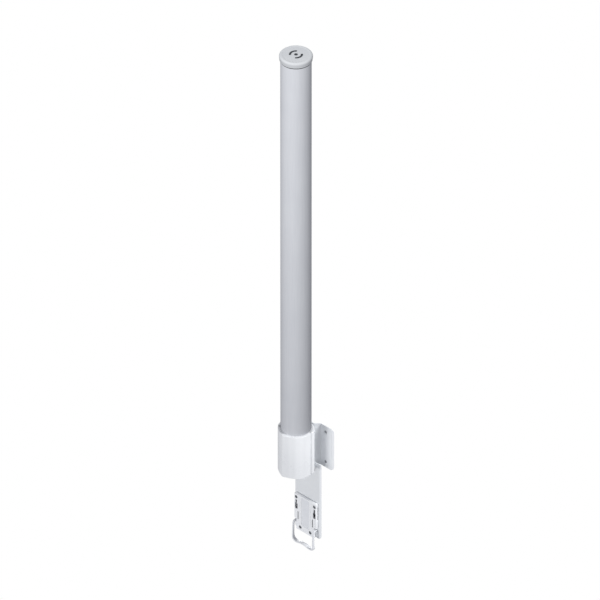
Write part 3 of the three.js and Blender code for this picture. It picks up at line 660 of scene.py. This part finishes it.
def bend_table(steps):
    """Middle line of a bent sheet from its centre outwards, as arrays (length along, x, y, heading). A
    bend of radius BEND turns the heading evenly, and the place is the running sum of cos and sin."""
    lengths = np.array([s if kind == "flat" else BEND * abs(np.radians(s)) for kind, s in steps])
    turns = np.array([0 if kind == "flat" else np.radians(s) for kind, s in steps])
    fine = np.linspace(0, lengths.sum(), 4001)
    stops = np.concatenate([[0], np.cumsum(lengths)])
    heading = np.interp(fine, stops, np.concatenate([[0], np.cumsum(turns)]))
    middle = (heading[1:] + heading[:-1]) / 2
    x = np.concatenate([[0], np.cumsum(np.cos(middle) * np.diff(fine))])
    y = np.concatenate([[0], np.cumsum(np.sin(middle) * np.diff(fine))])
    return fine, x, y, heading, stops


def bent(points, table, face_y):
    """Carries flat (across, up, height) points onto the bent middle line: height goes to the front."""
    fine, x, y, heading, _ = table
    across, up, height = points.T
    side, run = np.sign(across), np.abs(across)
    off = height - SHEET / 2
    turn = np.interp(run, fine, heading)
    px = np.interp(run, fine, x) + off * np.sin(turn)
    py = np.interp(run, fine, y) - off * np.cos(turn)
    return np.stack([side * px, py + face_y + SHEET / 2, up], -1)


def bend_lattice(table, low, high):
    """Lattice points for a bent sheet: close lines where it bends, wide ones where it is flat."""
    _, _, _, _, stops = table
    lines = np.concatenate([
        np.arange(a, b, 0.7 if i % 2 else 4.0) for i, (a, b) in enumerate(zip(stops, stops[1:]))])
    lines = np.concatenate([-lines[:0:-1], lines])
    across, up = np.meshgrid(lines, np.arange(low + 2, high - 1, 4.0))
    return np.stack([across.ravel(), up.ravel()], -1)


def flat_at(table, x):
    """Length along the middle line at which a bent sheet reaches x."""
    fine, line_x, _, _, _ = table
    return float(np.interp(x, line_x, fine))


bracket_low, bracket_high = box_mm("pole_bracket")
WING_OFFSET = 7.9
web_half = 10.7
slope = (WING_OFFSET - 2 * BEND * (1 - np.sqrt(0.5))) / np.sqrt(0.5)
wing_start = web_half + 2 * BEND * np.sqrt(0.5) + slope * np.sqrt(0.5)
wing_flat = bracket_high[0] - BEND - SHEET / 2 - wing_start
wings = bend_table([("flat", web_half), ("bend", 45), ("flat", slope), ("bend", -45), ("flat", wing_flat),
                    ("bend", 84)])
half_blank = wings[4][-1]
blank = spaced(rounded([
    [-half_blank, bracket_low[2]], [half_blank, bracket_low[2]],
    [half_blank, bracket_high[2]], [-half_blank, bracket_high[2]],
], 6.5), 1.0)
edge = round_edge(SHEET, 0.45, 0.45, 3)
CLAMP_X, CLAMP_Z = 31.0, 28.9
CLAMP_HOLE_R = 2.75
SCREW_HOLE_R = 2.3
SCREW_Z = [float(sum(box_mm(f"bracket_screw_{i}"))[2]) / 2 for i in range(4)]
across = flat_at(wings, CLAMP_X)
bracket_holes = [
    (disc(CLAMP_HOLE_R, x, z, 28)[::-1], edge) for x in (-across, across) for z in (-CLAMP_Z, CLAMP_Z)
]
countersink = np.array([[0.2, SHEET], [0, SHEET - 0.2], [0, 1.7], [-1.9, 0.15], [-1.9, 0]])
bracket_holes += [(disc(SCREW_HOLE_R, 0, z, 28)[::-1], countersink) for z in SCREW_Z]
lattice = bend_lattice(wings, bracket_low[2], bracket_high[2])
points, faces = plate(blank, edge, bracket_holes, lattice=lattice)
fit("pole_bracket_pressing", bent(points, wings, -SHEET), faces, powder_coat, "antenna",
    ["pole_bracket"], True)

# ---- Hole plugs -----------------------------------------------------------------------------------
# Four grey rubber plugs close the clamp holes in the wings until a clamp needs them. Their grey stands in
# as painted shade for the dark look of the holes. Each has a shallow dimple on both faces and is pressed
# into its hole.

# Moulded rubber of a dull mid grey: painted shade for the clamp holes.
plug_rubber_shade = coated("mid_grey_rubber_painted_hole_shade", "#9da0a4", "#8f9296", 0.7, 0.6, 0.02, 15)
for i in range(4):
    low, high = box_mm(f"hole_plug_{i}")
    x, z = (low[0] + high[0]) / 2, (low[2] + high[2]) / 2
    side = np.array([[0, 0.45], [0.9, 0.4], [1.6, 0.1], [2.3, -0.05], [2.65, 0.15], [2.72, 0.5]])
    drum = np.concatenate([side + [0, low[1]], side[::-1] * [1, -1] + [0, high[1]]])
    points, faces = turned(drum, 32, (0.0, 0.0), closed=False)
    points = points.reshape(-1, 3)
    place = np.stack([x + points[:, 0], points[:, 2], z - points[:, 1]], -1)
    fit(f"hole_plug_{i}_moulding", place, faces, plug_rubber_shade, "antenna", [f"hole_plug_{i}"])

# ---- Bracket screws -------------------------------------------------------------------------------
# Four stainless countersunk screws with hexagon sockets pass from the pole side through the web, the
# plate's tongue and the tube into the base plug, and hold the whole antenna together.

HEAD_R = 3.9
for i, z in enumerate(SCREW_Z):
    low, high = box_mm(f"bracket_screw_{i}")
    head = high[1]
    radius = np.array([0, 1.3, 1.3, 1.5, HEAD_R - 0.15, HEAD_R, 2.0, 2.0, 1.2, 0])
    depth = np.array([1.4, 1.4, 0.15, 0, 0, 0.2, 1.75, head - low[1] - 1, head - low[1], head - low[1]])
    angle = np.linspace(0, 2 * np.pi, 48, endpoint=False)
    socket = np.cos(np.pi / 6) / np.cos(angle % (np.pi / 3) - np.pi / 6)
    shape = np.where((np.arange(10) < 3)[:, None], socket[None], 1.0)
    r = radius[:, None] * shape
    away = np.broadcast_to(head - depth[:, None], r.shape)
    points = np.stack([r * np.cos(angle), away, z + r * np.sin(angle)], -1)
    fit(f"bracket_screw_{i}_turned", points, grid_faces(len(radius), 48, False, True), bright_steel,
        "antenna", [f"bracket_screw_{i}"])

# ---- Radio plate ----------------------------------------------------------------------------------
# A second powder-coated pressing. Its narrow tongue lies behind the collar under the bracket's web, and
# below the collar it widens to a flat face with long edges curled back, which carries the cradle.

plate_low, plate_high = box_mm("radio_plate")
TONGUE = 11.0
SHOULDER = -32.2
curled = bend_table([("flat", plate_high[0] - BEND - SHEET / 2), ("bend", 84)])
half_plate = curled[4][-1]
plate_corners = [
    [-half_plate, plate_low[2]], [half_plate, plate_low[2]], [half_plate, SHOULDER], [TONGUE, SHOULDER],
    [TONGUE, plate_high[2]], [-TONGUE, plate_high[2]], [-TONGUE, SHOULDER], [-half_plate, SHOULDER],
]
plate_outline = spaced(rounded(plate_corners, [4, 4, 3, 2, 2, 2, 2, 3]), 1.5)
CRADLE_SCREWS = [tuple((sum(box_mm(f"cradle_screw_{i}")) / 2)[::2].tolist()) for i in range(4)]
plate_holes = [(disc(SCREW_HOLE_R, 0, z, 24)[::-1], edge) for z in SCREW_Z]
plate_holes += [(disc(1.8, x, z, 24)[::-1], edge) for x, z in CRADLE_SCREWS]
lattice = bend_lattice(curled, plate_low[2], plate_high[2])
points, faces = plate(plate_outline, edge, plate_holes, lattice=lattice)
fit("radio_plate_pressing", bent(points, curled, plate_low[1]), faces, powder_coat, "antenna",
    ["radio_plate"], True)

# ---- Cradle pad -----------------------------------------------------------------------------------
# A thin pad of dark closed-cell foam seats the cradle on the powder-coated plate and closes its keyholes
# from behind. Its near-black colour is painted shade, standing for the shadow seen through the keyholes and
# the gaps round the cradle. The cradle's screws hold it.

pad_low, pad_high = box_mm("cradle_pad")
PAD_THICK = pad_high[1] - pad_low[1] + 0.4
# It is narrower between the lever's arms, and stops short of the cradle's top skirt.
NECK_X = 18.9
neck_top, pad_top = pad_high[2] - 47, pad_high[2] - 1.2
pad_corners = [
    [-NECK_X, pad_low[2]], [NECK_X, pad_low[2]], [NECK_X, neck_top], [pad_high[0], neck_top],
    [pad_high[0], pad_top], [-pad_high[0], pad_top], [-pad_high[0], neck_top], [-NECK_X, neck_top],
]
# Dark foam with open skin cells a millimetre across: no shine at all. Its near-black colour is painted
# shade for the keyholes and gaps behind the cradle.
shade_foam = coated("dark_foam_painted_shade", "#35383c", "#282a2e", 0.95, 1.1, 0.2, 10)
pad_edge = round_edge(PAD_THICK, 0.12, 0.12, 2)
pad_holes = [(disc(1.75, x, z, 24)[::-1], pad_edge) for x, z in CRADLE_SCREWS]
points, faces = plate(spaced(rounded(pad_corners, 1.0, steps=3), 2.0), pad_edge, pad_holes)
place = np.stack([points[:, 0], pad_high[1] + 0.2 - points[:, 2], points[:, 1]], -1)
fit("cradle_pad_shade_foam", place, faces, shade_foam, "antenna", ["cradle_pad"], True)

# ---- Radio cradle ---------------------------------------------------------------------------------
# A white moulding that takes the radio. The radio's hooks drop into two keyholes, two slots make
# springy tongues beside them, and a shallow panel and low ribs stiffen the middle.

cradle_low, cradle_high = box_mm("radio_cradle")
THICK = cradle_high[1] - cradle_low[1]
HALF = cradle_high[0]
TOP, BOTTOM = cradle_high[2], cradle_low[2]
POCKET_X, POCKET_TOP = 19.9, TOP - 49.0
cradle_corners = [
    [-POCKET_X, BOTTOM], [POCKET_X, BOTTOM], [POCKET_X, POCKET_TOP], [HALF, POCKET_TOP],
    [HALF, TOP], [-HALF, TOP], [-HALF, POCKET_TOP], [-POCKET_X, POCKET_TOP],
]
cradle_outline = spaced(rounded(cradle_corners, [1, 1, 0.6, 1, 2.5, 2.5, 1, 0.6], steps=5), 1.0)
# The top edge is bevelled much deeper than the others. Both sides are undercut along their middle.
up = (cradle_outline[:, 1] > TOP - 1.0).astype(float)
bevel = 0.5 + 2.1 * up
at_side = np.abs(cradle_outline[:, 0]) > HALF - 0.3
beside = at_side & (np.abs(cradle_outline[:, 1] - (TOP - 20.5)) < 12.5)
undercut = 0.3 * beside
# A narrow skirt runs from its back edge to the plate along the rest of the sides and the top.
skirt_drop = 0.9 * ((at_side | (cradle_outline[:, 1] > TOP - 2.5)) & ~beside)
ledge = np.minimum(1.9, THICK - bevel - 0.3)
flush = np.zeros(len(cradle_outline))
behind = undercut + 0.1 + skirt_drop
rows = [
    (bevel, THICK), (bevel * 0.45, THICK - bevel * 0.25), (flush, THICK - bevel), (flush, ledge + 0.2),
    (undercut, ledge), (undercut, -skirt_drop), (behind, -skirt_drop), (behind, flush),
]
cradle_edge = np.array([np.stack(np.broadcast_arrays(a, b), -1) for a, b in rows])


def mirrored(corners):
    """The same outline on the other side, still run with its inside on the left."""
    return [[-x, z] for x, z in corners[::-1]]


keyhole = [[17.5, TOP - 30], [22.9, TOP - 30], [22.9, TOP - 19.5], [21.8, TOP - 19.5], [21.8, TOP - 12.5],
           [18.8, TOP - 12.5], [18.8, TOP - 19.5], [17.5, TOP - 19.5]]
keyhole_radii = np.array([1.4, 1.4, 0.5, 0.5, 1.2, 1.2, 0.5, 0.5])
spring_slot = [[15.4, TOP - 49.5], [17, TOP - 49.5], [17, TOP - 33.5], [15.4, TOP - 33.5]]
lip = round_edge(THICK, 0.4, 0, 3)[:4]
through_edge = np.concatenate([lip, [[0, THICK - 1.3], [0.42, THICK - 1.3], [0.42, 0]]])
cradle_holes = []
for outline, radii in ((keyhole, keyhole_radii), (mirrored(keyhole), keyhole_radii[::-1]),
                       (spring_slot, 0.75), (mirrored(spring_slot), 0.75)):
    cradle_holes.append((rounded(outline, radii, steps=4)[::-1], through_edge))
counterbore = np.array([[0.3, THICK], [0, THICK - 0.3], [0, THICK - 1.8], [-1.1, THICK - 1.8], [-1.1, 0]])
cradle_holes += [(disc(2.9, x, z, 28)[::-1], counterbore) for x, z in CRADLE_SCREWS]
PANEL_X = 8.6
panel = rounded([
    [-PANEL_X, TOP - 58], [PANEL_X, TOP - 58], [PANEL_X, TOP - 4], [-PANEL_X, TOP - 4],
], 1.5)[::-1]
panel_edge = np.array([[0.35, THICK], [0, THICK - 0.3], [-0.2, THICK - 0.7], [-0.6, THICK - 0.9]])
rib = [[11.2, TOP - 46], [12.8, TOP - 46], [12.8, TOP - 12], [11.2, TOP - 12]]
rib_edge = np.array([[0.3, THICK], [0.0, THICK + 0.1], [-0.15, THICK + 0.4], [-0.4, THICK + 0.5]])
cradle_dents = [(spaced(panel, 3.0), panel_edge)]
cradle_dents += [(rounded(outline, 0.6, steps=3)[::-1], rib_edge) for outline in (rib, mirrored(rib))]
points, faces = plate(cradle_outline, cradle_edge, cradle_holes, cradle_dents)

# White plastic, satin. The recessed panel is coloured a little darker than its frame: painted shade in the
# recess.
cradle_plastic = coated("moulded_white_plastic_panel_painted_shade", "#f3f4f6", "#ebedf0", 0.36, 0.9, 0.02, 45,
                        IOR=1.5)
tree = cradle_plastic.node_tree
shader = tree.nodes["Principled BSDF"]
spot = add_node(tree, "ShaderNodeTexCoord")
parts = add_node(tree, "ShaderNodeSeparateXYZ", links={0: spot.outputs["Object"]})
off_middle = add_node(tree, "ShaderNodeMath", links={0: parts.outputs["X"]}, operation="ABSOLUTE")
beyond = add_node(tree, "ShaderNodeMapRange", {
    "From Min": (PANEL_X - 0.4) * MM, "From Max": (PANEL_X + 0.1) * MM,
}, {"Value": off_middle.outputs[0]})
in_front = add_node(tree, "ShaderNodeMapRange", {
    "From Min": (cradle_low[1] + 0.5) * MM, "From Max": (cradle_low[1] + 0.8) * MM,
    "To Min": 1.0, "To Max": 0.0,
}, {"Value": parts.outputs["Y"]})
frame_share = add_node(tree, "ShaderNodeMath", links={
    0: beyond.outputs["Result"], 1: in_front.outputs["Result"]}, operation="MAXIMUM")
plain_tone = shader.inputs["Base Color"].links[0].from_socket
# The panel's own tone is multiplied darker here: painted shade in the recessed panel.
panel_shade_tone = add_node(tree, "ShaderNodeMix", {0: 1.0, 7: linear("#f0f1f3")}, {6: plain_tone},
                     data_type="RGBA", blend_type="MULTIPLY")
frame_and_panel_shade_mix = add_node(tree, "ShaderNodeMix", links={
    0: frame_share.outputs[0], 6: panel_shade_tone.outputs[2], 7: plain_tone}, data_type="RGBA")
tree.links.new(frame_and_panel_shade_mix.outputs[2], shader.inputs["Base Color"])
place = np.stack([points[:, 0], cradle_high[1] - points[:, 2], points[:, 1]], -1)
fit("radio_cradle_moulding", place, faces, cradle_plastic, "antenna",
    ["radio_cradle"], True)

# ---- Cradle screws --------------------------------------------------------------------------------
# Four small pan-head screws sit in the cradle's counterbores and cut their own thread in the plate.
# Each head has a cross recess.

# Zinc-nickel plate on steel: a dark grey metal with a soft shine.
dark_steel = coated("steel_dark_zinc_nickel", "#74777b", "#66696d", 0.4, 0.4, 0.008, 8, Metallic=0.9)
for i, (x, z) in enumerate(CRADLE_SCREWS):
    low, high = box_mm(f"cradle_screw_{i}")
    rings = np.array([0, 0.3, 0.6, 0.9, 1.2, 1.5, 1.8, 2.1, 2.4, 2.6, 2.6, 1.5, 1.5, 0.9, 0])
    under = high[1] - low[1]
    dome = 0.9 - 0.9 * np.sqrt(1 - (rings[:9] / 2.62) ** 2)
    depth = np.array([*dome, 0.75, 1.6, 1.6, under - 0.8, under, under])
    angle = np.linspace(0, 2 * np.pi, 48, endpoint=False)
    flat_x, flat_z = rings[:, None] * np.cos(angle), rings[:, None] * np.sin(angle)
    arm = np.minimum(np.abs(flat_x), np.abs(flat_z))
    cross = ((0.55 - arm) / 0.3).clip(0, 1) * ((1.75 - rings[:, None]) / 0.3).clip(0, 1)
    sink = depth[:, None] + 0.9 * cross * (np.arange(len(rings)) < len(dome))[:, None]
    points = np.stack([x + flat_x, low[1] + sink, z + flat_z], -1)
    fit(f"cradle_screw_{i}_pan_head", points, grid_faces(len(rings), 48, False, True), dark_steel,
        "antenna", [f"cradle_screw_{i}"])

# ---- Release lever --------------------------------------------------------------------------------
# A U-shaped plastic bail. Its arms hook forward out of the cradle's pockets and run down to a broad
# thumb bar with a low hump; it turns on two steel pins to free the radio.

lever_low, lever_high = box_mm("release_lever")
pin_low, pin_high = box_mm("lever_pin_right")
PIVOT_Y, PIVOT_Z = (pin_low[1] + pin_high[1]) / 2, (pin_low[2] + pin_high[2]) / 2
BAR_HALF = 1.5
ARM_X = lever_high[0] - BAR_HALF
BAR_Z = lever_low[2] + BAR_HALF + 0.01
BAR_Y = PIVOT_Y - 5.1


def smooth_run(knots, per_span):
    """A Catmull-Rom curve through the knots: each span blends its ends and their chords cubically."""
    padded = np.concatenate([[2 * knots[0] - knots[1]], knots, [2 * knots[-1] - knots[-2]]])
    a, b, c, d = (padded[k:len(padded) - 3 + k, None] for k in range(4))
    u = np.linspace(0, 1, per_span, endpoint=False)[None, :, None]
    square, cube = 2 * a - 5 * b + 4 * c - d, 3 * b - a - 3 * c + d
    curve = 0.5 * (2 * b + (c - a) * u + square * u ** 2 + cube * u ** 3)
    return np.concatenate([curve.reshape(-1, knots.shape[1]), knots[-1:]])


# Knots of the right half: x, y, z, then the section's width, depth and how far it has turned.
half_run = np.array([
    [ARM_X, PIVOT_Y, PIVOT_Z, 3.0, 3.8, 0],
    [ARM_X, PIVOT_Y - 3.1, PIVOT_Z, 3.0, 3.7, 0],
    [ARM_X, PIVOT_Y - 5.0, PIVOT_Z - 1.5, 3.0, 3.1, 0],
    [ARM_X, PIVOT_Y - 5.7, PIVOT_Z - 5.0, 3.0, 2.7, 0],
    [ARM_X, PIVOT_Y - 6.2, PIVOT_Z - 14.0, 3.0, 2.8, 0],
    [ARM_X, PIVOT_Y - 6.3, PIVOT_Z - 24.0, 3.0, 3.4, 0],
    [ARM_X - 0.1, PIVOT_Y - 5.8, BAR_Z + 5.5, 3.0, 4.8, 12],
    [ARM_X - 1.9, BAR_Y, BAR_Z + 1.7, 3.1, 5.9, 45],
    [ARM_X - 6.0, BAR_Y, BAR_Z + 0.1, 3.1, 6.1, 80],
    [ARM_X - 11.0, BAR_Y, BAR_Z + 0.5, 3.0, 6.1, 96],
    [5.5, BAR_Y, BAR_Z + 1.9, 3.0, 6.1, 97],
    [0.0, BAR_Y, BAR_Z + 2.2, 3.0, 6.1, 90],
])
other_half = half_run[-2::-1] * [-1, 1, 1, 1, 1, -1] + [0, 0, 0, 0, 0, 180]
line = smooth_run(np.concatenate([half_run, other_half]), 8)
# A half-round boss closes each end beyond its pivot.
swell = np.linspace(np.pi / 2, 0, 7)[:-1]
boss = np.repeat(line[:1], 6, 0)
boss[:, 1] += 1.9 * np.sin(swell)
boss[:, 4] = 3.8 * np.cos(swell)
far_boss = boss[::-1] * [-1, 1, 1, 1, 1, 1] + [0, 0, 0, 0, 0, 180]
line = np.concatenate([boss, line, far_boss])
along_line = np.gradient(line[:, :3], axis=0)
along_line[:6], along_line[-6:] = [0, -1, 0], [0, 1, 0]
turned_by = np.radians(line[:, 5])
wide = np.stack([np.cos(turned_by), 0 * turned_by, -np.sin(turned_by)], -1)
deep = unit(np.cross(along_line, wide))
wide = unit(np.cross(deep, along_line))
angle = np.linspace(0, 2 * np.pi, 28, endpoint=False)
POWER = 2 / 4.5
across = np.sign(np.cos(angle)) * np.abs(np.cos(angle)) ** POWER / 2
into = np.sign(np.sin(angle)) * np.abs(np.sin(angle)) ** POWER / 2
points = (line[:, None, :3] + wide[:, None] * (line[:, 3:4] * across)[..., None]
          + deep[:, None] * (line[:, 4:5] * into)[..., None])
faces = grid_faces(len(line), 28, False, True)
# Satin plastic of a tougher kind, a shade greyer than the cradle.
lever_plastic = coated("moulded_light_grey_plastic_satin", "#e4e6e9", "#dcdee2", 0.38, 0.8, 0.02, 30,
                       IOR=1.5)
fit("release_lever_bail", points, faces, lever_plastic, "lever", ["release_lever"])

PIN_R = 1.0
PIN_START = 17.6
for name, side in (("lever_pin_left", -1), ("lever_pin_right", 1)):
    low, high = box_mm(name)
    end = PIN_START + high[0] - low[0] + 0.25
    stem = rounded([[0, PIN_START], [PIN_R, PIN_START], [PIN_R, end], [0, end]], [0, 0.3, 0.35, 0],
                   closed=False)
    points, faces = turned(stem, 32, (0.0, 0.0), closed=False)
    points = points.reshape(-1, 3)
    place = np.stack([side * points[:, 2], PIVOT_Y + points[:, 0], PIVOT_Z + points[:, 1]], -1)
    fit(f"{name}_turned", place, faces, bright_steel, "lever", [name])

# ---- Pieces inside the tube -----------------------------------------------------------------------
# Two laminate boards with copper elements, foam discs that centre them, a moulded foot, the plug's
# rubber ring and two coaxial cables. They keep their own shapes, and only their finish is set here.

# Straw-coloured laminate, copper gone brown in the air, white foam, and amber cable jackets.
laminate = coated("glass_epoxy_laminate", "#c8b988", "#b9a873", 0.45, 0.8, 0.02, 12, IOR=1.55)
etched_copper = coated("etched_copper_tarnished", "#c98a5a", "#a9663a", 0.35, 0.6, 0.01, 9, Metallic=1.0)
closed_foam = coated("closed_cell_foam", "#ece9df", "#dcd8cb", 0.9, 1.4, 0.25, 14)
jacket = coated("coax_jacket_translucent_brown", "#8f6038", "#7d512c", 0.4, 1.0, 0.03, 12,
                stretch=(1, 1, 0.3))
inner_finish = {
    "_board": laminate, "_feed_line": etched_copper, "_element_": etched_copper,
    "foam_spacer_": closed_foam, "top_bumper": closed_foam, "board_foot": dark_plastic,
    "plug_o_ring": seal_rubber, "feed_cable_": jacket,
}
for name, node in frame["nodes"].items():
    for part, material in inner_finish.items():
        if part in name:
            node.data.materials.clear()
            node.data.materials.append(material)

# Every new piece that isn't in the tube's or the cap's set is lit as part of the bracket.
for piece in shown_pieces():
    if piece.name not in (*frame["nodes"], *tube_set.objects.keys(), *cap_set.objects.keys()):
        bracket_set.objects.link(piece)
